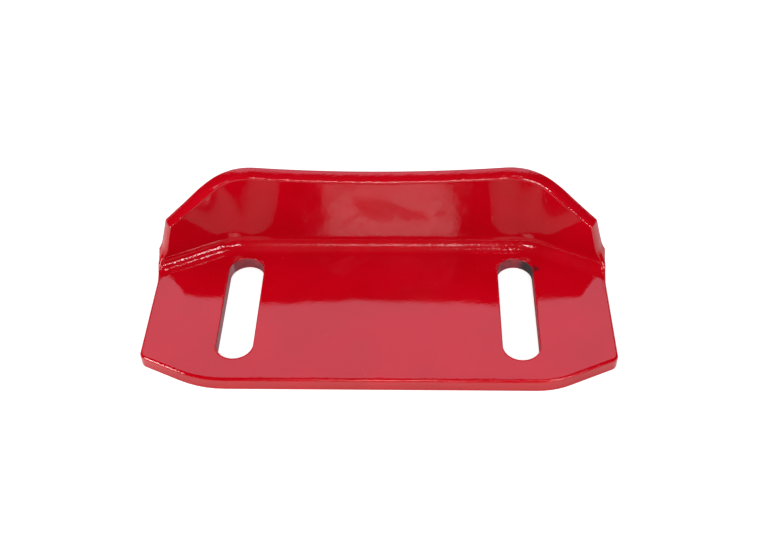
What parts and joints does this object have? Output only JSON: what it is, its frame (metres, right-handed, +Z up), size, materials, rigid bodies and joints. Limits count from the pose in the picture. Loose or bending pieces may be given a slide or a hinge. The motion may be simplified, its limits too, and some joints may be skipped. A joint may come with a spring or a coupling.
{
  "type": "snow blower skid shoe",
  "caption": "Red bent steel skid shoe: a flat plate with long adjusting slots and cut corners, and a runner flange whose ends sweep back like ski tips.",
  "frame": {"origin": "midway between the two slots, on the underside of the mounting plate", "axes": "+X along the shoe from slot to slot, +Y toward the runner flange, +Z up from the plate, the way the runner stands"},
  "size_m": [0.1464, 0.0622, 0.0352],
  "materials": {
    "red_paint": "gloss powder coat with a light orange peel"
  },
  "bodies": {
    "root": {"skid_shoe": "red_paint"}
  },
  "joints": []
}
